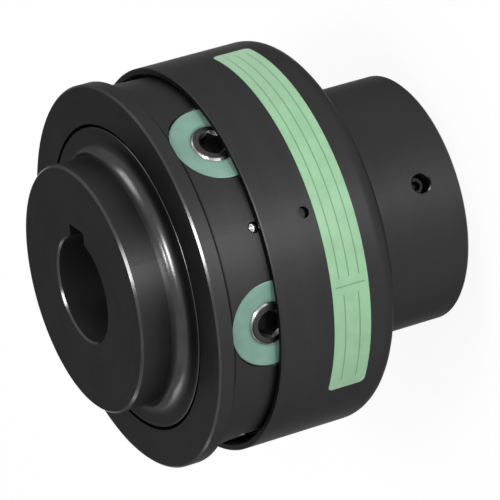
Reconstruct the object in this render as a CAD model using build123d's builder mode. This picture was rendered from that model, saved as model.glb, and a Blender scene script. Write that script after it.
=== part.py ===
"""Flexible shaft coupling with radial elastic elements and a sliding cover.

The axis is Z. The coupling stands on the end of its back boss, with the origin at the
centre of that end face, the front boss up, and +X through the latch ball.
Lengths are in millimetres and angles in degrees.
"""

import os
from math import cos, radians, sin

from build123d import *

# Shaft bores, the same in both hubs
bore_diameter = 28.0
bore_chamfer = 0.5
key_width = 8.0
key_depth = 3.3
front_key_angle = 60.0
back_key_angle = 0.0

# Elastic elements and the pins through them
element_count = 6
first_element_angle = 30.0
element_diameter = 22.8
element_fit = 0.05
element_set_back = 0.05
element_bevel = 0.35
pin_diameter = 11.5
pin_fit = 0.05
pin_head_drop = 1.1
pin_chamfer = 0.7
socket_flats = 6.0
socket_depth = 4.0
socket_countersink = 0.35
socket_angles = (27.0, 8.0, 41.0, 15.0, 52.0, 30.0)
pin_thread_diameter = 8.0
pin_thread_length = 12.0
pin_thread_chamfer = 0.8
thread_clearance = 0.05
tapped_hole_run_out = 1.5

# Inner hub: front boss and the barrel that carries the pins
front_boss_diameter = 66.0
front_boss_length = 12.4
front_boss_fillet = 4.0
boss_chamfer = 0.6
flange_land = 2.4
barrel_chamfer = 0.5
seat_depth = 2.9
seat_clearance = 0.6
barrel_end_land = 0.9

# Outer hub: drum around the barrel, stop rim at its mouth, web and back boss
barrel_gap = 1.5
hub_gap = 1.2
drum_wall = 8.15
drum_bore_bevel = 0.3
rim_height = 2.1
rim_width = 4.2
rim_chamfer = 0.5
element_land = 1.1
web_thickness = 5.3
web_corner_chamfer = 0.8
back_boss_diameter = 66.9
back_boss_length = 47.8
back_boss_fillet = 3.0

# Sliding cover, drawn half open
cover_clearance = 0.25
cover_wall = 2.1
cover_stop_gap = 0.2
cover_closing_stroke = 13.2
lip_gap = 0.3
lip_thickness = 2.7
lip_depth = 8.3
cover_back_fillet = 5.0
cover_mouth_chamfer = 0.6
cover_edge_chamfer = 0.3
latch_hole_diameter = 3.1

# Label on the cover
label_width = 10.6
label_offset = 15.2
label_start_angle = -58.8
label_end_angle = 65.8
label_thickness = 0.15
label_corner = 1.5

# Spring plunger that latches the cover
plunger_angle = 0.0
plunger_diameter = 4.0
plunger_length = 6.0
plunger_press_gap = 0.01
plunger_set_back = 0.1
plunger_floor = 0.6
ball_diameter = 3.2
ball_clearance = 0.03
ball_proud = 0.2
mouth_depth = 0.45
mouth_overhang = 0.08
spring_wire_diameter = 0.32
spring_wall_gap = 0.1
spring_ball_gap = 0.05
spring_turns = 3.5
spring_wire_flats = 8

# Set screw over the back key
set_screw_diameter = 5.0
set_screw_length = 12.0
set_screw_height = 10.8
set_screw_socket_flats = 2.5
set_screw_socket_depth = 3.0
set_screw_point_chamfer = 1.0
set_screw_key_gap = 0.3
set_screw_mouth_chamfer = 0.4

# Radii
bore_radius = bore_diameter / 2
element_radius = element_diameter / 2
pin_radius = pin_diameter / 2
front_boss_radius = front_boss_diameter / 2
back_boss_radius = back_boss_diameter / 2
barrel_radius = front_boss_radius + front_boss_fillet + flange_land
seat_radius = barrel_radius - seat_depth
spot_face_radius = element_radius + seat_clearance
recess_radius = barrel_radius + barrel_gap
drum_radius = recess_radius + drum_wall
rim_radius = drum_radius + rim_height
cover_bore_radius = drum_radius + cover_clearance
cover_radius = cover_bore_radius + cover_wall
lip_radius = cover_bore_radius - lip_depth
plunger_radius = plunger_diameter / 2
ball_radius = ball_diameter / 2

# Heights above the back end, worked out from the front face backwards
element_from_front = front_boss_length + rim_width + element_land + element_radius
inner_hub_length = element_from_front + spot_face_radius + barrel_end_land
overall_length = inner_hub_length + hub_gap + web_thickness + back_boss_length
flange_face = overall_length - front_boss_length
barrel_end = overall_length - inner_hub_length
recess_floor = barrel_end - hub_gap
drum_back = recess_floor - web_thickness
rim_shoulder = flange_face - rim_width
element_height = overall_length - element_from_front
cover_front_closed = rim_shoulder - cover_stop_gap
cover_front = cover_front_closed - cover_closing_stroke
cover_length = cover_front_closed - drum_back + lip_gap + lip_thickness
cover_back = cover_front - cover_length
latch_hole_height = element_height - cover_closing_stroke

# Angles
element_pitch = 360 / element_count
element_angles = [first_element_angle + i * element_pitch for i in range(element_count)]

# How near a selected edge must lie to its nominal radius and height
edge_tolerance = 0.01
# How far a cutter runs past the surface that it opens
cutter_overrun = 1.0

on_base = (Align.CENTER, Align.CENTER, Align.MIN)
hung_below = (Align.CENTER, Align.CENTER, Align.MAX)


def radial_plane(angle, radius, height):
    """A plane facing outward at a radius, with its X along the coupling's axis."""
    outward = Vector(cos(radians(angle)), sin(radians(angle)), 0)
    return Plane(origin=outward * radius + Vector(0, 0, height), x_dir=(0, 0, 1), z_dir=outward)


def ring_edges(builder, radius, height):
    """The circular edges of a turned piece at one radius and height."""

    def at_ring(edge):
        near_radius = abs(edge.radius - radius) < edge_tolerance
        return near_radius and abs(edge.arc_center.Z - height) < edge_tolerance

    return builder.edges().filter_by(GeomType.CIRCLE).filter_by(at_ring)


def bore_mouths(builder, radius):
    """The outer edges of the radial bores of one radius, where they open on the drum."""
    bores = builder.faces().filter_by(GeomType.CYLINDER).filter_by(
        lambda face: abs(face.radius - radius) < edge_tolerance
    )
    mid_wall = (recess_radius + drum_radius) / 2
    return bores.edges().filter_by(
        lambda edge: edge.geom_type != GeomType.LINE
        and Vector(edge.center().X, edge.center().Y).length > mid_wall
    )


def turn(radius, bottom, top, mode=Mode.ADD):
    """A turned diameter about the axis, from one height to another."""
    with BuildSketch(Plane.XY.offset(bottom)) as profile:
        Circle(radius)
    extrude(profile.sketch, amount=top - bottom, mode=mode)


def cut_keyway(angle, bottom, top):
    """A keyway in the bore, its floor square to the given angle."""
    floor = bore_radius + key_depth
    with BuildSketch(Plane.XY.offset(bottom).rotated((0, 0, angle))) as profile:
        with Locations((floor / 2, 0)):
            Rectangle(floor, key_width)
    extrude(profile.sketch, amount=top - bottom, mode=Mode.SUBTRACT)


def save(builder, name):
    """Label the piece and write it under its node name."""
    builder.part.label = name
    export_step(builder.part, f"parts/{name}.step")


os.makedirs("parts", exist_ok=True)

# Inner hub: boss and barrel in one piece, spot-faced and tapped for the pins
with BuildPart() as inner_hub:
    turn(barrel_radius, barrel_end, flange_face)
    turn(front_boss_radius, flange_face, overall_length)
    fillet(ring_edges(inner_hub, front_boss_radius, flange_face), front_boss_fillet)
    chamfer(ring_edges(inner_hub, front_boss_radius, overall_length), boss_chamfer)
    chamfer(ring_edges(inner_hub, barrel_radius, flange_face), barrel_chamfer)
    chamfer(ring_edges(inner_hub, barrel_radius, barrel_end), barrel_chamfer)
    turn(bore_radius, barrel_end, overall_length, Mode.SUBTRACT)
    chamfer(ring_edges(inner_hub, bore_radius, overall_length), bore_chamfer)
    chamfer(ring_edges(inner_hub, bore_radius, barrel_end), bore_chamfer)
    cut_keyway(front_key_angle, barrel_end, overall_length)
    with Locations(*[radial_plane(a, barrel_radius, element_height) for a in element_angles]):
        CounterBoreHole(
            radius=pin_thread_diameter / 2 + thread_clearance,
            counter_bore_radius=spot_face_radius,
            counter_bore_depth=seat_depth,
            depth=seat_depth + pin_thread_length + tapped_hole_run_out,
        )
save(inner_hub, "inner_hub")

# Outer hub: drum, stop rim, web and back boss in one piece, bored for the elements
with BuildPart() as outer_hub:
    turn(back_boss_radius, 0, drum_back)
    turn(drum_radius, drum_back, rim_shoulder)
    turn(rim_radius, rim_shoulder, flange_face)
    fillet(ring_edges(outer_hub, back_boss_radius, drum_back), back_boss_fillet)
    chamfer(ring_edges(outer_hub, back_boss_radius, 0), boss_chamfer)
    chamfer(ring_edges(outer_hub, drum_radius, drum_back), web_corner_chamfer)
    chamfer(ring_edges(outer_hub, rim_radius, flange_face), rim_chamfer)
    turn(recess_radius, recess_floor, flange_face, Mode.SUBTRACT)
    turn(bore_radius, 0, recess_floor, Mode.SUBTRACT)
    chamfer(ring_edges(outer_hub, bore_radius, 0), bore_chamfer)
    chamfer(ring_edges(outer_hub, bore_radius, recess_floor), bore_chamfer)
    cut_keyway(back_key_angle, 0, recess_floor)
    with Locations(*[radial_plane(a, drum_radius, element_height) for a in element_angles]):
        Hole(element_radius + element_fit, depth=drum_radius - seat_radius)
    chamfer(bore_mouths(outer_hub, element_radius + element_fit), drum_bore_bevel)
    with Locations(radial_plane(plunger_angle, drum_radius, element_height)):
        Hole(plunger_radius + plunger_press_gap, depth=plunger_set_back + plunger_length)
    with Locations(radial_plane(back_key_angle, back_boss_radius, set_screw_height)):
        CounterSinkHole(
            radius=set_screw_diameter / 2 + thread_clearance,
            counter_sink_radius=set_screw_diameter / 2 + set_screw_mouth_chamfer,
            depth=back_boss_radius - bore_radius,
            counter_sink_angle=90,
        )
save(outer_hub, "outer_hub")

# Elastic elements: thick rings standing on the barrel's seats, topped off to the drum's curve
for number, angle in enumerate(element_angles, start=1):
    seat = radial_plane(angle, seat_radius, element_height)
    with BuildPart() as element:
        with BuildSketch(seat):
            Circle(element_radius)
        extrude(amount=drum_radius - seat_radius)
        with Locations((0, 0, element_height)):
            Cylinder(drum_radius - element_set_back, element_diameter * 2, mode=Mode.INTERSECT)
        top = element.faces().sort_by(Axis(seat.origin, seat.z_dir))[-1]
        chamfer(top.edges(), element_bevel)
        with BuildSketch(seat):
            Circle(pin_radius + pin_fit)
        extrude(amount=drum_radius - seat_radius, mode=Mode.SUBTRACT)
    save(element, f"elastic_element_{number}")

# Pins: socket-headed, shouldered on the barrel's seats and screwed into it
pin_head_length = drum_radius - pin_head_drop - seat_radius
for number, angle in enumerate(element_angles, start=1):
    seat = radial_plane(angle, seat_radius, element_height)
    head = seat.offset(pin_head_length)
    outward = Axis(seat.origin, seat.z_dir)
    with BuildPart(seat) as pin:
        Cylinder(pin_radius, pin_head_length, align=on_base)
        chamfer(pin.faces().sort_by(outward)[-1].edges(), pin_chamfer)
        Cylinder(pin_thread_diameter / 2, pin_thread_length, align=hung_below)
        chamfer(pin.faces().sort_by(outward)[0].edges(), pin_thread_chamfer)
        with BuildSketch(head):
            RegularPolygon(
                socket_flats / 2,
                side_count=6,
                major_radius=False,
                rotation=socket_angles[(number - 1) % len(socket_angles)],
            )
        extrude(amount=-socket_depth, mode=Mode.SUBTRACT)
        socket_corner_radius = socket_flats / 2 / cos(radians(30))
        with BuildSketch(head):
            Circle(socket_corner_radius + socket_countersink)
        extrude(amount=-socket_corner_radius, taper=45, mode=Mode.SUBTRACT)
    save(pin, f"pin_{number}")

# Cover: cup-shaped sleeve that slides on the drum and closes against the stop rim
with BuildPart() as cover_sleeve:
    turn(cover_radius, cover_back, cover_front)
    fillet(ring_edges(cover_sleeve, cover_radius, cover_back), cover_back_fillet)
    chamfer(ring_edges(cover_sleeve, cover_radius, cover_front), cover_edge_chamfer)
    turn(cover_bore_radius, cover_back + lip_thickness, cover_front, Mode.SUBTRACT)
    turn(lip_radius, cover_back, cover_back + lip_thickness, Mode.SUBTRACT)
    chamfer(ring_edges(cover_sleeve, cover_bore_radius, cover_front), cover_mouth_chamfer)
    with Locations(radial_plane(plunger_angle, cover_radius, latch_hole_height)):
        Hole(latch_hole_diameter / 2, depth=cover_wall + cutter_overrun)
save(cover_sleeve, "cover_sleeve")

# Label: thin curved strip with rounded corners, stuck on the cover
label_top = cover_front - label_offset
label_edge = Plane(
    origin=(0, 0, label_top - label_width / 2),
    x_dir=(cos(radians(label_start_angle)), sin(radians(label_start_angle)), 0),
    z_dir=(sin(radians(label_start_angle)), -cos(radians(label_start_angle)), 0),
)
with BuildPart() as label:
    with BuildSketch(label_edge):
        with Locations((cover_radius + label_thickness / 2, 0)):
            Rectangle(label_thickness, label_width)
    revolve(axis=Axis.Z, revolution_arc=label_end_angle - label_start_angle)
    corners = label.edges().filter_by(lambda e: abs(e.length - label_thickness) < edge_tolerance)
    fillet(corners, label_corner)
save(label, "label")

# Plunger body: pressed into the drum, its mouth turned in to keep the ball
plunger_face = drum_radius - plunger_set_back
plunger_seat = radial_plane(plunger_angle, plunger_face - plunger_length, element_height)
guide_radius = ball_radius + ball_clearance
mouth_radius = ball_radius - mouth_overhang
with BuildPart(plunger_seat) as plunger_body:
    Cylinder(plunger_radius, plunger_length, align=on_base)
    with BuildSketch(plunger_seat.offset(plunger_floor)):
        Circle(guide_radius)
    extrude(amount=plunger_length - plunger_floor - mouth_depth, mode=Mode.SUBTRACT)
    with BuildSketch(plunger_seat.offset(plunger_length - mouth_depth)):
        Circle(guide_radius)
    with BuildSketch(plunger_seat.offset(plunger_length)):
        Circle(mouth_radius)
    loft(mode=Mode.SUBTRACT)
save(plunger_body, "plunger_body")

# Ball: pressed down to the height at which the cover passes over it
ball_centre = drum_radius + ball_proud - ball_radius
with BuildPart(radial_plane(plunger_angle, ball_centre, element_height)) as plunger_ball:
    Sphere(ball_radius)
save(plunger_ball, "plunger_ball")

# Spring: open coils between the plunger's floor and the ball
wire_radius = spring_wire_diameter / 2
coil_radius = guide_radius - spring_wall_gap - wire_radius
spring_start = plunger_face - plunger_length + plunger_floor + wire_radius
ball_reach = ball_radius + wire_radius + spring_ball_gap
ball_touch_drop = (ball_reach**2 - coil_radius**2) ** 0.5
spring_height = ball_centre - ball_touch_drop - spring_start
spring_seat = radial_plane(plunger_angle, spring_start, element_height)
with BuildPart() as plunger_spring:
    with BuildLine() as coil:
        Helix(
            pitch=spring_height / spring_turns,
            height=spring_height,
            radius=coil_radius,
            center=spring_seat.origin,
            direction=spring_seat.z_dir,
        )
    with BuildSketch(Plane(origin=coil.line @ 0, z_dir=coil.line % 0)):
        RegularPolygon(wire_radius, spring_wire_flats)
    sweep(path=coil.line, is_frenet=True)
save(plunger_spring, "plunger_spring")

# Set screw: headless, its point just clear of the shaft key
set_screw_point = radial_plane(
    back_key_angle, bore_radius + key_depth + set_screw_key_gap, set_screw_height
)
with BuildPart(set_screw_point) as set_screw:
    Cylinder(set_screw_diameter / 2, set_screw_length, align=on_base)
    screw_axis = Axis(set_screw_point.origin, set_screw_point.z_dir)
    chamfer(set_screw.faces().sort_by(screw_axis)[0].edges(), set_screw_point_chamfer)
    chamfer(set_screw.faces().sort_by(screw_axis)[-1].edges(), set_screw_mouth_chamfer)
    with BuildSketch(set_screw_point.offset(set_screw_length)):
        RegularPolygon(set_screw_socket_flats / 2, side_count=6, major_radius=False)
    extrude(amount=-set_screw_socket_depth, mode=Mode.SUBTRACT)
save(set_screw, "set_screw")
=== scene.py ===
"""Finishes and stage of a flexible shaft coupling with radial elastic elements and a sliding cover.

Lengths are in metres unless a name says millimetres, and angles are in radians unless it says degrees.
The frame stands on its back boss with the axis along Z, and +X points through the latch ball.
"""

import math

import bmesh
import bpy
from mathutils import Matrix, Vector


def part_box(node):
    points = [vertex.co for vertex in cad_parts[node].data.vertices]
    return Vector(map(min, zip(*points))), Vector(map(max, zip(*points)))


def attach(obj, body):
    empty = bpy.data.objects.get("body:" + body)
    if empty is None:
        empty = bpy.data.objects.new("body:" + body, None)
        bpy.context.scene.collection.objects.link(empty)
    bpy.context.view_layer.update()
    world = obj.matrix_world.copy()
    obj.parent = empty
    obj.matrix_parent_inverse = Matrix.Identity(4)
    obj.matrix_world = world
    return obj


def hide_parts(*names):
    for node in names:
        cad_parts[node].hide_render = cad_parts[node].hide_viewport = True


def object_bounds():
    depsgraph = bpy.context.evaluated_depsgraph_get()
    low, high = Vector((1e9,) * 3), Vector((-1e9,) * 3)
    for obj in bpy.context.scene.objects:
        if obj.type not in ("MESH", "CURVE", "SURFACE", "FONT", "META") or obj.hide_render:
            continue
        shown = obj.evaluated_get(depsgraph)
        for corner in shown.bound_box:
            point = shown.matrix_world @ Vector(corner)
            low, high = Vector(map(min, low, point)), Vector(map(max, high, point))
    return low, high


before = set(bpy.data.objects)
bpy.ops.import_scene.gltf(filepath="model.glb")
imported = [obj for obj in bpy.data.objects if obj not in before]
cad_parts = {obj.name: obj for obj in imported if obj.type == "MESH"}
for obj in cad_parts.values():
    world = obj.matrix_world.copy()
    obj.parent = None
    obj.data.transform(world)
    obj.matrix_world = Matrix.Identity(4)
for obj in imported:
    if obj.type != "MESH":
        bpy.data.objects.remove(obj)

bl_info = {
    "name": "Flexible Coupling Finishes",
    "version": (1, 0, 0),
    "blender": (4, 5, 0),
    "location": "3D View > Sidebar > Coupling",
    "description": "Finishes the parts of a flexible shaft coupling and lays out its stage",
    "category": "Object",
}

CAD_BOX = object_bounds()
MM = 0.001
TURNED_NODES = ("inner_hub", "outer_hub", "cover_sleeve")
ELEMENT_STEP = math.radians(60.0)
RING_STEPS = 72
FLANGE_STEPS = 240
FIRST_ELEMENT = math.radians(30.0)


def nodes_named(start):
    """The CAD nodes whose names begin with a word, in order."""
    found = sorted(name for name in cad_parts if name.startswith(start))
    if not found:
        raise RuntimeError(f"no CAD node begins with {start}: {sorted(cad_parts)}")
    return found


def element_height():
    """Height of the ring of elements above the back end."""
    low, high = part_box(nodes_named("elastic_element")[0])
    return (low.z + high.z) / 2


def angle_span(name):
    """Lowest and highest angle about the axis of a node on the +X side, in radians."""
    angles = [math.atan2(v.co.y, v.co.x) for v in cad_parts[name].data.vertices]
    return min(angles), max(angles)


ELEMENT_HEIGHT = element_height()
LABEL_LOW, LABEL_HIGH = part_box("label")
LABEL_START, LABEL_END = angle_span("label")
COVER_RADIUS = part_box("cover_sleeve")[1].x
SHARP_ANGLE = math.radians(32.0)

# Radius within which a wall along the axis is bored, and radius beyond which it is the drum's
BORE_LIMIT = 14.3 * MM
DRUM_LIMIT = 46.0 * MM

# Where finishes change, from and to, measured from an element's axis
GROUND_FROM = (5.2 * MM, 5.36 * MM)
SOCKET_LEAD_IN = (3.9 * MM, 4.05 * MM)
# Painted shade round the pin: the elastomer is darkened next to the pin's bore
PIN_SHADE_RING = (5.8 * MM, 6.6 * MM)
# The same, measured from the coupling's axis
# Painted shade: nearer the axis than these reaches the elastomer deep in the drum is darkened, fading out
# between them
DEEP_SHADE_WITHIN = (42.5 * MM, 45.0 * MM)

# Flange edge ring
FLANGE_EDGE_DEPTH = 3.4 * MM
FLANGE_EDGE_LIFT = 0.015 * MM
FLANGE_EDGE_BEVEL = 0.25 * MM

# Printed rules: space at their ends, and distance from the label's printed edge
RULE_GAP = 2.2 * MM
SHORT_RULE_INSET = 2.1 * MM
LONG_RULE_INSET = 1.3 * MM

# Point that the camera looks at, and its direction from there in degrees
CAMERA_TARGET = (0.0, -0.0021319, 0.0476570)
CAMERA_AZIMUTH = -3.5749
CAMERA_ELEVATION = 24.4934
FLOOR_RADIUS = 9.0
FLOOR_GAP = 0.0002
# Lamps round the middle: name, distance, azimuth and elevation in degrees, width, height and power
LAMPS = (
    ("High Lamp", 1.2, 8.0, 65.0, 0.35, 0.3, 6.0),
    ("Front Lamp", 1.3, 4.0, 36.0, 0.3, 0.16, 3.0),
    ("Side Lamp", 1.1, 82.0, 22.0, 0.6, 0.5, 3.2),
    ("Back Lamp", 1.4, -150.0, 30.0, 0.9, 0.5, 2.8),
)
LOW_LAMP_PLACE = (0.62, -0.03, 0.03)


# Sizes and colours that a user would change


def colour(name, description, default):
    """A colour in a settings group."""
    return bpy.props.FloatVectorProperty(
        name=name, description=description, subtype="COLOR", size=3, min=0.0, max=1.0, default=default
    )


def share(name, description, default):
    """A number from 0 to 1 in a settings group."""
    return bpy.props.FloatProperty(
        name=name, description=description, subtype="FACTOR", min=0.0, max=1.0, default=default
    )


def length(name, description, default):
    """A length in a settings group."""
    return bpy.props.FloatProperty(
        name=name, description=description, unit="LENGTH", min=0.0, precision=5, default=default
    )


class CouplingSteelSettings(bpy.types.PropertyGroup):
    black: colour("Black", "Reflection colour of the blackened steel", (0.042, 0.0412, 0.0415))
    worn: colour("Worn edge", "Reflection colour where edges are rubbed", (0.1, 0.0985, 0.097))
    limb: share("Limb", "How much of the grazing reflection the black finish keeps", 0.46)
    roughness: share("Roughness", "Roughness of the turned surfaces", 0.42)
    edge_roughness: share("Edge roughness", "Roughness of chamfers and fillets", 0.18)
    flange_edge_width: length("Flange edge width", "How far the flange's edge stands out", 0.00065)
    flange_edge_cover: length("Flange edge cover", "How far the edge laps over the flange's chamfer", 0.00056)
    bore: colour("Bore", "Reflection colour of the bored walls", (0.13, 0.128, 0.126))
    bore_roughness: share("Bore roughness", "Roughness of the bored walls", 0.4)
    rim_width: length("Rim width", "Width of the rim at the drum's mouth", 0.0042)
    # Painted shade: width of the dark line painted on the drum in the corner behind the rim
    corner_shade_width: length("Corner line", "Width of the dark line behind the rim", 0.0017)
    cover_wear: share("Cover wear", "How much of the edge wear the cover shows", 0.04)
    tool_pitch: length("Tool pitch", "Spacing of the turning marks", 0.00045)
    mark_depth: length("Mark depth", "Depth of the turning marks", 0.000002)


class CouplingElementSettings(bpy.types.PropertyGroup):
    green: colour("Green", "Colour of the cast elastomer", (0.135, 0.245, 0.198))
    pale: colour("Pale edge", "Colour of the bevel, where the elastomer is rubbed", (0.17, 0.285, 0.24))
    deep: colour("Deep green", "Colour of the darker mottling", (0.11, 0.21, 0.168))
    # Painted shade: colour of the elastomer deep inside the drum, where shade falls
    deep_shade_colour: colour("Painted deep shade", "Colour of the elastomer deep inside the drum", (0.012, 0.014, 0.013))
    roughness: share("Roughness", "Roughness of the elastomer", 0.5)
    mottle_size: length("Mottle size", "Size of the cloudy mottling", 0.006)
    bevel: length("Bevel", "Width of the bevels round the outer face", 0.00035)
    set_back: length("Set back", "From the chord of the drum to the flat face", 0.00005)


class CouplingPinSettings(bpy.types.PropertyGroup):
    dark: colour("Dark steel", "Reflection colour of the pin faces", (0.06, 0.058, 0.058))
    bright: colour("Ground edge", "Reflection colour of the ground chamfers", (0.62, 0.61, 0.6))
    roughness: share("Roughness", "Roughness of the pin faces", 0.38)
    edge_roughness: share("Edge roughness", "Roughness of the ground chamfers", 0.2)


class CouplingBallSettings(bpy.types.PropertyGroup):
    steel: colour("Bearing steel", "Reflection colour of the latch ball", (0.82, 0.82, 0.82))
    roughness: share("Roughness", "Roughness of the latch ball", 0.07)


class CouplingLabelSettings(bpy.types.PropertyGroup):
    film: colour("Film", "Colour of the label film", (0.182, 0.335, 0.195))
    ink: colour("Ink", "Colour of the printed rules", (0.07, 0.17, 0.1))
    roughness: share("Roughness", "Roughness of the label film", 0.38)
    divider: bpy.props.FloatProperty(
        name="Divider", description="Angle of the dividing rule", subtype="ANGLE", default=math.radians(-23.4)
    )
    rule_width: length("Rule width", "Width of the printed rules", 0.00035)
    margin: length("Margin", "Distance of the printed rules from the label's edge", 0.0011)


class CouplingStageSettings(bpy.types.PropertyGroup):
    floor: colour("Floor", "Colour of the floor", (0.86, 0.86, 0.86))
    floor_glow: share("Floor glow", "Share of the floor's own white in the background", 0.9)
    world: colour("World", "Colour of the light from all round", (0.62, 0.62, 0.625))
    camera_distance: length("Camera distance", "From the camera to the point that it looks at", 1.0707523)
    camera_lens: bpy.props.FloatProperty(
        name="Lens", description="Focal length of the camera", unit="CAMERA", default=294.2925
    )
    camera_roll: bpy.props.FloatProperty(
        name="Roll", description="Turn of the camera about its own axis", subtype="ANGLE",
        default=math.radians(106.1885),
    )


# Node helpers


def add(tree, kind, settings=(), **inputs):
    """A node of a kind, with its settings and its inputs as values or as other nodes' sockets."""
    made = tree.nodes.new(kind)
    for key, value in dict(settings).items():
        setattr(made, key, value)
    for key, value in inputs.items():
        put(tree, made, key.replace("_", " "), value)
    return made


def put(tree, made, key, value):
    """Sets or links one input, named or numbered, of a node. A colour gets its alpha."""
    socket = made.inputs[key]
    if isinstance(value, bpy.types.NodeSocket):
        tree.links.new(value, socket)
        return
    if isinstance(value, tuple):
        value += (1.0,) * (len(socket.default_value) - len(value))
    socket.default_value = value


def maths(tree, operation, first, second=None, third=None):
    """The result of a Math node."""
    made = add(tree, "ShaderNodeMath", {"operation": operation})
    for number, value in enumerate((first, second, third)):
        if value is not None:
            put(tree, made, number, value)
    return made.outputs[0]


def ramp(tree, value, low, high, out_low=0.0, out_high=1.0):
    """A smooth change from one value to another between two limits."""
    made = add(tree, "ShaderNodeMapRange", {"interpolation_type": "SMOOTHSTEP"}, Value=value)
    for key, number in (("From Min", low), ("From Max", high), ("To Min", out_low), ("To Max", out_high)):
        put(tree, made, key, number)
    return made.outputs["Result"]


def mix(tree, factor, first, second):
    """A mix of two colours."""
    made = add(tree, "ShaderNodeMix", {"data_type": "RGBA"})
    put(tree, made, 0, factor)
    put(tree, made, 6, first)
    put(tree, made, 7, second)
    return made.outputs[2]


def blend_number(tree, factor, first, second):
    """A mix of two numbers."""
    made = add(tree, "ShaderNodeMix", {"data_type": "FLOAT"})
    put(tree, made, 0, factor)
    put(tree, made, 2, first)
    put(tree, made, 3, second)
    return made.outputs[0]


def noise(tree, scale, detail, roughness, vector=None, along=None):
    """A noise in space, or along one number."""
    made = add(tree, "ShaderNodeTexNoise", {"noise_dimensions": "1D" if along is not None else "3D"})
    put(tree, made, "Scale", scale)
    put(tree, made, "Detail", detail)
    put(tree, made, "Roughness", roughness)
    if along is not None:
        put(tree, made, "W", along)
    else:
        put(tree, made, "Vector", vector)
    return made.outputs[0]


def new_group(name, inputs, outputs):
    """An empty shader node group with named number inputs and outputs, and its two end nodes."""
    group = bpy.data.node_groups.new(name, "ShaderNodeTree")
    for title, default in inputs:
        socket = group.interface.new_socket(title, in_out="INPUT", socket_type="NodeSocketFloat")
        socket.default_value = default
    for title in outputs:
        group.interface.new_socket(title, in_out="OUTPUT", socket_type="NodeSocketFloat")
    return group, group.nodes.new("NodeGroupInput"), group.nodes.new("NodeGroupOutput")


def turned_surface_group():
    """Turning marks along the profile, slow clouding and a mask of the chamfers and fillets."""
    if "Turned Surface" in bpy.data.node_groups:
        return bpy.data.node_groups["Turned Surface"]
    inputs = [("Pitch", 0.0005), ("Cloud Size", 0.02)]
    outputs = ["Marks", "Cloud", "Edge", "Radius", "Slope"]
    group, start, end = new_group("Turned Surface", inputs, outputs)
    place = add(group, "ShaderNodeTexCoord")
    spot = add(group, "ShaderNodeSeparateXYZ", Vector=place.outputs["Object"])
    facing = add(group, "ShaderNodeSeparateXYZ", Vector=place.outputs["Normal"])
    slope = maths(group, "ABSOLUTE", facing.outputs["Z"])
    square = maths(group, "MULTIPLY", spot.outputs["X"], spot.outputs["X"])
    square = maths(group, "MULTIPLY_ADD", spot.outputs["Y"], spot.outputs["Y"], square)
    radius = maths(group, "SQRT", square)
    flat = ramp(group, slope, 0.4, 0.6)
    along = blend_number(group, flat, spot.outputs["Z"], radius)
    steps = maths(group, "DIVIDE", along, start.outputs["Pitch"])
    coarse = noise(group, 1.0, 2.0, 0.55, along=steps)
    broad = noise(group, 0.12, 2.0, 0.5, along=steps)
    marks = maths(group, "MULTIPLY_ADD", broad, 0.35, maths(group, "MULTIPLY", coarse, 0.65))
    scale = maths(group, "DIVIDE", 1.0, start.outputs["Cloud Size"])
    cloud = noise(group, scale, 4.0, 0.6, vector=place.outputs["Object"])
    rise = ramp(group, slope, 0.22, 0.5)
    fall = ramp(group, slope, 0.8, 0.97, 1.0, 0.0)
    edge = maths(group, "MULTIPLY", rise, fall)
    named = (("Marks", marks), ("Cloud", cloud), ("Edge", edge), ("Radius", radius), ("Slope", slope))
    for key, value in named:
        put(group, end, key, value)
    return group


def element_frame_group():
    """The frame of the nearest element: how far from its axis, and how much a surface faces along it."""
    if "Element Frame" in bpy.data.node_groups:
        return bpy.data.node_groups["Element Frame"]
    inputs, outputs = [("Height", ELEMENT_HEIGHT)], ["Off Axis", "Facing", "Reach"]
    group, start, end = new_group("Element Frame", inputs, outputs)
    place = add(group, "ShaderNodeTexCoord")
    spot = add(group, "ShaderNodeSeparateXYZ", Vector=place.outputs["Object"])
    turn = maths(group, "ARCTAN2", spot.outputs["Y"], spot.outputs["X"])
    count = maths(group, "DIVIDE", maths(group, "SUBTRACT", turn, FIRST_ELEMENT), ELEMENT_STEP)
    turn = maths(group, "MULTIPLY_ADD", maths(group, "ROUND", count), ELEMENT_STEP, FIRST_ELEMENT)
    east, north = maths(group, "COSINE", turn), maths(group, "SINE", turn)
    axis = add(group, "ShaderNodeCombineXYZ", X=east, Y=north)
    across = maths(
        group, "SUBTRACT",
        maths(group, "MULTIPLY", spot.outputs["Y"], east), maths(group, "MULTIPLY", spot.outputs["X"], north),
    )
    up = maths(group, "SUBTRACT", spot.outputs["Z"], start.outputs["Height"])
    off = maths(group, "SQRT", maths(group, "MULTIPLY_ADD", across, across, maths(group, "MULTIPLY", up, up)))
    for key, vector in (("Facing", place.outputs["Normal"]), ("Reach", place.outputs["Object"])):
        dot = add(group, "ShaderNodeVectorMath", {"operation": "DOT_PRODUCT"})
        put(group, dot, 0, vector)
        put(group, dot, 1, axis.outputs[0])
        put(group, end, key, dot.outputs["Value"])
    put(group, end, "Off Axis", off)
    return group


def shaded(tone, share_kept):
    """A colour made darker or lighter."""
    return tuple(share_kept * part for part in tone)


def new_material(name):
    """A material with a Principled shader, and its tree."""
    made = bpy.data.materials.new(name)
    made.use_nodes = True
    return made, made.node_tree, made.node_tree.nodes["Principled BSDF"]


def add_group(tree, group, **inputs):
    """A node that places a shader group."""
    return add(tree, "ShaderNodeGroup", {"node_tree": group}, **inputs)


def bump(tree, height, depth):
    """The normal of a relief of a depth in metres."""
    made = add(tree, "ShaderNodeBump", Height=height)
    put(tree, made, "Distance", depth)
    put(tree, made, "Strength", 1.0)
    return made.outputs["Normal"]


def wear(name, material):
    """Gives a CAD node a material in all its slots."""
    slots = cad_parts[name].material_slots
    if not len(slots):
        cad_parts[name].data.materials.append(material)
    for place in slots:
        place.material = material


# Elastic elements


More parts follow.
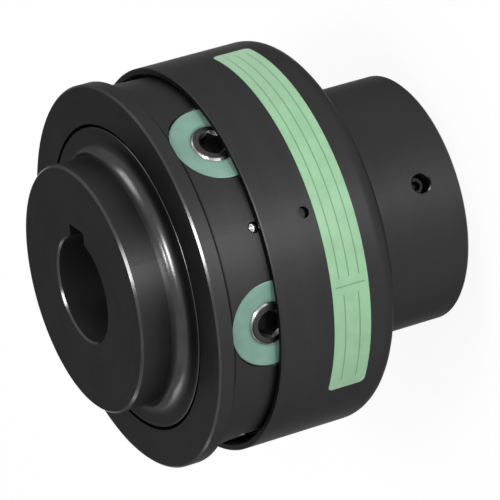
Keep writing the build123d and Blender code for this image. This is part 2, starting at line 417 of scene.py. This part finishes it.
def element_shape(name):
    """Angle, inner end, outer end, radius and bore radius of one elastic element's CAD node."""
    low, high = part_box(name)
    turn = math.atan2(low.y + high.y, low.x + high.x)
    axis = Vector((math.cos(turn), math.sin(turn), 0.0))
    reaches, offs = [], []
    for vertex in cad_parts[name].data.vertices:
        reach = vertex.co.dot(axis)
        reaches.append(reach)
        offs.append((vertex.co - reach * axis - Vector((0.0, 0.0, ELEMENT_HEIGHT))).length)
    return turn, min(reaches), max(reaches), max(offs), min(offs)


def turned_ring(bore, radius, low, high, bevel, bevelled_radii, steps):
    """A ring spun from its section about Z, with the top edges at the given radii bevelled."""
    bm = bmesh.new()
    corners = ((bore, low), (radius, low), (radius, high), (bore, high))
    section = [bm.verts.new((across, 0.0, up)) for across, up in corners]
    sides = [bm.edges.new((section[n], section[(n + 1) % 4])) for n in range(4)]
    bmesh.ops.spin(
        bm, geom=section + sides, cent=(0, 0, 0), axis=(0, 0, 1), dvec=(0, 0, 0),
        angle=math.tau, steps=steps, use_merge=True, use_duplicate=False,
    )
    bmesh.ops.remove_doubles(bm, verts=bm.verts, dist=1e-6)
    rims = [edge for edge in bm.edges if is_rim(edge, high, bevelled_radii)]
    bmesh.ops.bevel(
        bm, geom=rims, offset=bevel, offset_type="OFFSET", segments=3, profile=0.5,
        affect="EDGES", material=-1, clamp_overlap=True,
    )
    return bm


def is_rim(edge, height, radii):
    """Whether an edge runs round the axis at a height and one of some radii."""
    return any(
        all(abs(v.co.z - height) < 1e-6 and abs(v.co.xy.length - radius) < 1e-6 for v in edge.verts)
        for radius in radii
    )


def finished_piece(bm, name, material, slot, *replaced):
    """The object of a finished mesh, riding on the coupling and standing for the nodes it replaces."""
    bmesh.ops.recalc_face_normals(bm, faces=bm.faces)
    mesh = bpy.data.meshes.new(name)
    bm.to_mesh(mesh)
    bm.free()
    mesh.shade_smooth()
    mesh.set_sharp_from_angle(angle=SHARP_ANGLE)
    mesh.materials.append(material)
    piece = bpy.data.objects.new(name, mesh)
    bpy.context.scene.collection.objects.link(piece)
    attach(piece, "coupling")
    if replaced:
        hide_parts(*replaced)
    return piece


def element_ring(name, node, settings, material):
    """A bored round block with a flat, bevelled outer face, turned to its place in the ring."""
    turn, inner, outer, radius, bore = element_shape(node)
    face = math.sqrt(outer**2 - radius**2) - settings.set_back
    bm = turned_ring(bore, radius, inner, face, settings.bevel, (bore, radius), RING_STEPS)
    axis = Vector((math.cos(turn), math.sin(turn), 0.0))
    upright = Vector((0.0, 0.0, 1.0))
    place = Matrix((upright.cross(axis), upright, axis)).transposed().to_4x4()
    bmesh.ops.transform(bm, verts=bm.verts, matrix=Matrix.Translation((0, 0, ELEMENT_HEIGHT)) @ place)
    return finished_piece(bm, name, material, "green_elastomer", node)


def flange_shape():
    """Radius and face height of the inner hub's flange."""
    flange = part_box("inner_hub")[1].x
    face = max(
        v.co.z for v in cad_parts["inner_hub"].data.vertices if v.co.xy.length > flange - 1.0 * MM
    )
    return flange, face


def flange_edge(settings, material):
    """A fine turned edge round the inner hub's flange, which narrows the gap at the drum's mouth."""
    flange, face = flange_shape()
    radius = flange + settings.flange_edge_width
    bore = flange - settings.flange_edge_cover
    low, high = face - FLANGE_EDGE_DEPTH, face + FLANGE_EDGE_LIFT
    bm = turned_ring(bore, radius, low, high, FLANGE_EDGE_BEVEL, (radius,), FLANGE_STEPS)
    return finished_piece(bm, "flange_edge", material, "black_steel")


# Materials


def blackened_steel(settings, name="Blackened Turned Steel", cloud_size=0.02, rub=1.0):
    """Turned steel with a satin black finish, lighter along its rubbed edges."""
    material, tree, shader = new_material(name)
    marks = add_group(tree, turned_surface_group(), Pitch=settings.tool_pitch)
    put(tree, marks, "Cloud Size", cloud_size)
    patch = ramp(tree, marks.outputs["Cloud"], 0.3, 0.7)
    line = ramp(tree, marks.outputs["Marks"], 0.25, 0.75)
    mottle = blend_number(tree, 0.6, patch, line)
    base = mix(tree, mottle, shaded(settings.black, 0.9), shaded(settings.black, 1.1))
    uneven = ramp(tree, marks.outputs["Cloud"], 0.25, 0.6, 0.45 * rub, rub)
    rubbed = maths(tree, "MULTIPLY", marks.outputs["Edge"], uneven)
    put(tree, shader, "Base Color", mix(tree, rubbed, base, tuple(settings.worn)))
    put(tree, shader, "Metallic", 1.0)
    put(tree, shader, "Specular Tint", (settings.limb,) * 3)
    rough = blend_number(tree, patch, settings.roughness - 0.02, settings.roughness + 0.03)
    rough = blend_number(tree, line, rough, maths(tree, "ADD", rough, 0.03))
    rough = blend_number(tree, rubbed, rough, settings.edge_roughness)
    put(tree, shader, "Roughness", rough)
    put(tree, shader, "Normal", bump(tree, marks.outputs["Marks"], settings.mark_depth))
    return material


def hub_steel(settings):
    """The blackened steel of the hubs, with bare bored walls and a painted shade line on the drum in the
    corner behind the rim.
    """
    material = blackened_steel(settings)
    tree = material.node_tree
    shader = tree.nodes["Principled BSDF"]
    marks = next(made for made in tree.nodes if made.type == "GROUP")
    radius, slope = marks.outputs["Radius"], marks.outputs["Slope"]
    inside = ramp(tree, radius, BORE_LIMIT, BORE_LIMIT + 0.2 * MM, 1.0, 0.0)
    bored = maths(tree, "MULTIPLY", inside, ramp(tree, slope, 0.1, 0.3, 1.0, 0.0))
    base, rough = (shader.inputs[key].links[0].from_socket for key in ("Base Color", "Roughness"))
    base = mix(tree, bored, base, tuple(settings.bore))
    place = add(tree, "ShaderNodeTexCoord").outputs["Object"]
    height = add(tree, "ShaderNodeSeparateXYZ", Vector=place).outputs["Z"]
    shoulder = flange_shape()[1] - settings.rim_width
    # Painted shade: a dark band on the drum just behind the rim, standing in for the shade in that corner
    behind = ramp(tree, height, shoulder - settings.corner_shade_width, shoulder - 0.7 * settings.corner_shade_width)
    before = ramp(tree, height, shoulder + 0.01 * MM, shoulder + 0.03 * MM, 1.0, 0.0)
    on_drum = ramp(tree, radius, DRUM_LIMIT, DRUM_LIMIT + MM)
    corner = maths(tree, "MULTIPLY", maths(tree, "MULTIPLY", behind, before), on_drum)
    put(tree, shader, "Base Color", mix(tree, corner, base, shaded(settings.black, 0.25)))
    put(tree, shader, "Roughness", blend_number(tree, bored, rough, settings.bore_roughness))
    return material


def cast_elastomer(settings):
    """Cloudy green cast elastomer with a paler bevel, painted shade round the pins and painted shade deep
    inside the drum.
    """
    material, tree, shader = new_material("Cast Green Elastomer")
    place = add(tree, "ShaderNodeTexCoord").outputs["Object"]
    ring = add_group(tree, element_frame_group())
    cloud = ramp(tree, noise(tree, 1 / settings.mottle_size, 4.0, 0.6, vector=place), 0.3, 0.7)
    grain = noise(tree, 2600.0, 3.0, 0.6, vector=place)
    base = mix(tree, cloud, tuple(settings.deep), tuple(settings.green))
    facing = ring.outputs["Facing"]
    bevel = maths(tree, "MULTIPLY", ramp(tree, facing, 0.2, 0.5), ramp(tree, facing, 0.86, 0.95, 1.0, 0.0))
    base = mix(tree, bevel, base, tuple(settings.pale))
    # Painted shade: the elastomer darkens next to the pin, standing in for contact shade
    pin_shade = ramp(tree, ring.outputs["Off Axis"], *PIN_SHADE_RING, 0.55, 0.0)
    base = mix(tree, pin_shade, base, shaded(settings.deep, 0.35))
    # Painted shade: the elastomer deep inside the drum turns nearly black
    deep_shade_mask = ramp(tree, ring.outputs["Reach"], *DEEP_SHADE_WITHIN, 0.93, 0.0)
    base = mix(tree, deep_shade_mask, base, tuple(settings.deep_shade_colour))
    put(tree, shader, "Base Color", base)
    rough = blend_number(tree, cloud, settings.roughness - 0.05, settings.roughness + 0.06)
    put(tree, shader, "Roughness", rough)
    put(tree, shader, "IOR", 1.5)
    put(tree, shader, "Normal", bump(tree, grain, 0.000012))
    return material


def pin_steel(settings):
    """Blackened pin steel, turned on its end face, with ground chamfers."""
    material, tree, shader = new_material("Blackened Pin Steel")
    place = add(tree, "ShaderNodeTexCoord").outputs["Object"]
    ring = add_group(tree, element_frame_group())
    off, facing = ring.outputs["Off Axis"], ring.outputs["Facing"]
    lines = noise(tree, 1.0, 2.0, 0.5, along=maths(tree, "DIVIDE", off, 0.00022))
    cloud = ramp(tree, noise(tree, 260.0, 4.0, 0.6, vector=place), 0.3, 0.7)
    dark, bright = tuple(settings.dark), tuple(settings.bright)
    mottle = blend_number(tree, 0.5, cloud, lines)
    base = mix(tree, mottle, shaded(dark, 0.72), shaded(dark, 1.3))
    slanted = maths(
        tree, "MULTIPLY", ramp(tree, facing, 0.3, 0.6), ramp(tree, facing, 0.85, 0.95, 1.0, 0.0)
    )
    ground = maths(tree, "MULTIPLY", slanted, ramp(tree, off, *GROUND_FROM))
    ground = maths(tree, "MULTIPLY", ground, ramp(tree, cloud, 0.0, 1.0, 0.7, 1.0))
    lead_in = maths(tree, "MULTIPLY", slanted, ramp(tree, off, *SOCKET_LEAD_IN, 1.0, 0.0))
    base = mix(tree, lead_in, base, shaded(dark, 2.6))
    put(tree, shader, "Base Color", mix(tree, ground, base, bright))
    put(tree, shader, "Metallic", 1.0)
    put(tree, shader, "Specular Tint", (0.5, 0.5, 0.5))
    put(tree, shader, "Roughness", blend_number(tree, ground, settings.roughness, settings.edge_roughness))
    put(tree, shader, "Normal", bump(tree, lines, 0.000004))
    return material


def bearing_steel(settings, name, tint, roughness):
    """Polished steel with faint scuffs."""
    material, tree, shader = new_material(name)
    place = add(tree, "ShaderNodeTexCoord").outputs["Object"]
    scuff = ramp(tree, noise(tree, 1500.0, 4.0, 0.6, vector=place), 0.35, 0.7)
    steel = shaded(settings.steel, tint)
    put(tree, shader, "Base Color", mix(tree, scuff, steel, shaded(steel, 0.88)))
    put(tree, shader, "Metallic", 1.0)
    put(tree, shader, "Roughness", blend_number(tree, scuff, roughness, roughness + 0.06))
    return material


def label_film(settings):
    """Pale green film with plain printed rules and no lettering."""
    material, tree, shader = new_material("Printed Label Film")
    place = add(tree, "ShaderNodeTexCoord").outputs["Object"]
    spot = add(tree, "ShaderNodeSeparateXYZ", Vector=place)
    turn = maths(tree, "ARCTAN2", spot.outputs["Y"], spot.outputs["X"])
    run = maths(tree, "MULTIPLY", turn, COVER_RADIUS)
    rise = spot.outputs["Z"]
    edge = settings.rule_width / 2

    def band(value, low, high):
        """1 between two limits and 0 beyond them, with a soft edge."""
        middle, half = (low + high) / 2, (high - low) / 2
        away = maths(tree, "ABSOLUTE", maths(tree, "SUBTRACT", value, middle))
        return ramp(tree, away, half - 0.00004, half + 0.00004, 1.0, 0.0)

    low, high = LABEL_LOW.z + settings.margin, LABEL_HIGH.z - settings.margin
    near, far = LABEL_START * COVER_RADIUS + settings.margin, LABEL_END * COVER_RADIUS - settings.margin
    split = settings.divider * COVER_RADIUS
    short_rules = (near + RULE_GAP, split - RULE_GAP, (low + SHORT_RULE_INSET, high - SHORT_RULE_INSET))
    long_rules = (
        split + RULE_GAP, far - RULE_GAP,
        (low + LONG_RULE_INSET, high - LONG_RULE_INSET, (low + high) / 2),
    )
    marks = [(band(run, split - edge, split + edge), band(rise, low, high))]
    for first, last, heights in (short_rules, long_rules):
        for up in heights:
            marks.append((band(run, first, last), band(rise, up - edge, up + edge)))
    ink = None
    for across, up in marks:
        printed = maths(tree, "MULTIPLY", across, up)
        ink = printed if ink is None else maths(tree, "MAXIMUM", ink, printed)
    cloud = ramp(tree, noise(tree, 140.0, 4.0, 0.6, vector=place), 0.3, 0.7)
    base = mix(tree, cloud, shaded(settings.film, 0.93), shaded(settings.film, 1.05))
    covered = maths(tree, "MULTIPLY", ink, 0.85)
    put(tree, shader, "Base Color", mix(tree, covered, base, tuple(settings.ink)))
    rough = blend_number(tree, cloud, settings.roughness - 0.04, settings.roughness + 0.05)
    put(tree, shader, "Roughness", rough)
    put(tree, shader, "Normal", bump(tree, noise(tree, 900.0, 3.0, 0.5, vector=place), 0.000006))
    return material


# Stage


def white_ground(settings):
    """Pale ground that shows as white in the background and still takes the shadow."""
    material, tree, shader = new_material("Pale Ground")
    put(tree, shader, "Base Color", tuple(settings.floor))
    put(tree, shader, "Roughness", 0.9)
    glow = add(tree, "ShaderNodeEmission", Color=(1.0, 1.0, 1.0), Strength=1.0)
    path = add(tree, "ShaderNodeLightPath")
    seen = maths(tree, "MAXIMUM", path.outputs["Is Camera Ray"], path.outputs["Is Glossy Ray"])
    seen = maths(tree, "MAXIMUM", seen, path.outputs["Is Transmission Ray"])
    blended = add(tree, "ShaderNodeMixShader", Fac=maths(tree, "MULTIPLY", seen, settings.floor_glow))
    put(tree, blended, 1, shader.outputs[0])
    put(tree, blended, 2, glow.outputs[0])
    put(tree, tree.nodes["Material Output"], "Surface", blended.outputs[0])
    return material


def direction(azimuth, elevation):
    """A direction from angles in degrees, with azimuth from +X toward +Y."""
    a, e = math.radians(azimuth), math.radians(elevation)
    return Vector((math.cos(a) * math.cos(e), math.sin(a) * math.cos(e), math.sin(e)))


def lamp(name, spot, aim, width, height, power):
    """A soft rectangular lamp that faces a point, with its height upward."""
    light = bpy.data.lights.new(name, "AREA")
    light.shape = "RECTANGLE"
    light.size, light.size_y = width, height
    light.energy = power
    holder = bpy.data.objects.new(name, light)
    holder.location = spot
    holder.rotation_mode = "QUATERNION"
    holder.rotation_quaternion = (Vector(aim) - Vector(spot)).to_track_quat("-Z", "Y")
    holder.visible_camera = False
    bpy.context.scene.collection.objects.link(holder)
    return holder


# Operators


class COUPLING_OT_finish_bodies(bpy.types.Operator):
    """Give the two hubs and the cover their turned black finish"""

    bl_idname = "coupling.finish_bodies"
    bl_label = "Finish Hubs and Cover"

    def execute(self, context):
        settings = context.scene.coupling_steel
        black = hub_steel(settings)
        cover_steel = blackened_steel(settings, "Blackened Cover Steel", rub=settings.cover_wear)
        for name in TURNED_NODES:
            wear(name, cover_steel if name == "cover_sleeve" else black)
        flange_edge(settings, black)
        return {"FINISHED"}


class COUPLING_OT_make_elements(bpy.types.Operator):
    """Make the flat-faced elastic elements in their cast green finish"""

    bl_idname = "coupling.make_elements"
    bl_label = "Make Elastic Elements"

    def execute(self, context):
        settings = context.scene.coupling_elements
        rubber = cast_elastomer(settings)
        for number, node in enumerate(nodes_named("elastic_element"), 1):
            element_ring(f"elastic_ring_{number}", node, settings, rubber)
        return {"FINISHED"}


class COUPLING_OT_finish_pins(bpy.types.Operator):
    """Give the pins their dark faces and ground chamfers"""

    bl_idname = "coupling.finish_pins"
    bl_label = "Finish Pins"

    def execute(self, context):
        steel = pin_steel(context.scene.coupling_pins)
        for name in nodes_named("pin"):
            wear(name, steel)
        return {"FINISHED"}


class COUPLING_OT_finish_plunger(bpy.types.Operator):
    """Give the latch ball, its spring and its sleeve their steels, and the set screw its black"""

    bl_idname = "coupling.finish_plunger"
    bl_label = "Finish Plunger and Set Screw"

    def execute(self, context):
        settings = context.scene.coupling_ball
        small_black = blackened_steel(context.scene.coupling_steel, "Blackened Small Steel", 0.003)
        wear("plunger_ball", bearing_steel(settings, "Polished Ball", 1.0, settings.roughness))
        wear("plunger_spring", bearing_steel(settings, "Drawn Spring Wire", 0.6, 0.3))
        dressed = {"plunger_ball", "plunger_spring", "label", *TURNED_NODES}
        dressed.update(nodes_named("elastic_element"), nodes_named("pin"))
        for name in sorted(set(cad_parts) - dressed):
            wear(name, small_black)
        return {"FINISHED"}


class COUPLING_OT_finish_label(bpy.types.Operator):
    """Give the label its pale film and plain rules"""

    bl_idname = "coupling.finish_label"
    bl_label = "Finish Label"

    def execute(self, context):
        wear("label", label_film(context.scene.coupling_label))
        return {"FINISHED"}


class COUPLING_OT_set_stage(bpy.types.Operator):
    """Lay the floor, hang the soft lamps and place the camera"""

    bl_idname = "coupling.set_stage"
    bl_label = "Set Stage"

    def execute(self, context):
        settings = context.scene.coupling_stage
        scene = context.scene
        scene.view_settings.view_transform = "Standard"
        self.lay_floor(scene, settings)
        self.hang_lamps()
        self.light_world(scene, settings)
        self.place_camera(scene, settings)
        return {"FINISHED"}

    def lay_floor(self, scene, settings):
        mesh = bpy.data.meshes.new("Floor")
        bm = bmesh.new()
        bmesh.ops.create_circle(bm, cap_ends=True, segments=96, radius=FLOOR_RADIUS)
        bmesh.ops.translate(bm, verts=bm.verts, vec=(0.0, 0.0, CAD_BOX[0].z - FLOOR_GAP))
        bmesh.ops.recalc_face_normals(bm, faces=bm.faces)
        if bm.faces[:][0].normal.z < 0:
            bmesh.ops.reverse_faces(bm, faces=bm.faces)
        bm.to_mesh(mesh)
        bm.free()
        mesh.materials.append(white_ground(settings))
        floor = bpy.data.objects.new("Floor", mesh)
        scene.collection.objects.link(floor)

    def hang_lamps(self):
        middle = Vector((0.0, 0.0, (CAD_BOX[0].z + CAD_BOX[1].z) / 2))
        lamp("Low Front Lamp", LOW_LAMP_PLACE, middle, 0.09, 0.05, 1.9)
        for name, away, azimuth, elevation, width, height, power in LAMPS:
            lamp(name, middle + away * direction(azimuth, elevation), middle, width, height, power)

    def light_world(self, scene, settings):
        world = bpy.data.worlds.new("Even Light")
        scene.world = world
        world.use_nodes = True
        put(world.node_tree, world.node_tree.nodes["Background"], "Color", tuple(settings.world))

    def place_camera(self, scene, settings):
        """The camera looks at the axis below the ring, turned so that the axis lies across the view."""
        back = direction(CAMERA_AZIMUTH, CAMERA_ELEVATION)
        side = direction(CAMERA_AZIMUTH + 90.0, 0.0)
        upright = back.cross(side)
        up = math.cos(settings.camera_roll) * upright + math.sin(settings.camera_roll) * side
        right = up.cross(back)
        camera = bpy.data.cameras.new("Camera")
        camera.lens = settings.camera_lens
        camera.sensor_width = 36.0
        camera.clip_start, camera.clip_end = 0.01, 50.0
        holder = bpy.data.objects.new("Camera", camera)
        turn = Matrix((right, up, back)).transposed().to_4x4()
        spot = Vector(CAMERA_TARGET) + settings.camera_distance * back
        holder.matrix_world = Matrix.Translation(spot) @ turn
        scene.collection.objects.link(holder)
        scene.camera = holder


class COUPLING_PT_panel(bpy.types.Panel):
    """Lists the steps that finish the coupling"""

    bl_idname = "COUPLING_PT_panel"
    bl_label = "Flexible Coupling"
    bl_space_type = "VIEW_3D"
    bl_region_type = "UI"
    bl_category = "Coupling"

    def draw(self, context):
        for step, settings in STEPS:
            box = self.layout.box()
            box.operator(step.bl_idname)
            if settings:
                group = getattr(context.scene, settings)
                for key in group.__annotations__:
                    box.prop(group, key)


STEPS = (
    (COUPLING_OT_finish_bodies, "coupling_steel"),
    (COUPLING_OT_make_elements, "coupling_elements"),
    (COUPLING_OT_finish_pins, "coupling_pins"),
    (COUPLING_OT_finish_plunger, "coupling_ball"),
    (COUPLING_OT_finish_label, "coupling_label"),
    (COUPLING_OT_set_stage, "coupling_stage"),
)
SETTINGS = {
    "coupling_steel": CouplingSteelSettings,
    "coupling_elements": CouplingElementSettings,
    "coupling_pins": CouplingPinSettings,
    "coupling_ball": CouplingBallSettings,
    "coupling_label": CouplingLabelSettings,
    "coupling_stage": CouplingStageSettings,
}
CLASSES = (*SETTINGS.values(), *(step for step, _ in STEPS), COUPLING_PT_panel)


def register():
    for made in CLASSES:
        bpy.utils.register_class(made)
    for key, made in SETTINGS.items():
        setattr(bpy.types.Scene, key, bpy.props.PointerProperty(type=made))


def unregister():
    for key in SETTINGS:
        delattr(bpy.types.Scene, key)
    for made in reversed(CLASSES):
        bpy.utils.unregister_class(made)


def main():
    register()
    bpy.ops.coupling.finish_bodies()
    bpy.ops.coupling.make_elements()
    bpy.ops.coupling.finish_pins()
    bpy.ops.coupling.finish_plunger()
    bpy.ops.coupling.finish_label()
    bpy.ops.coupling.set_stage()


if __name__ == "__main__":
    main()
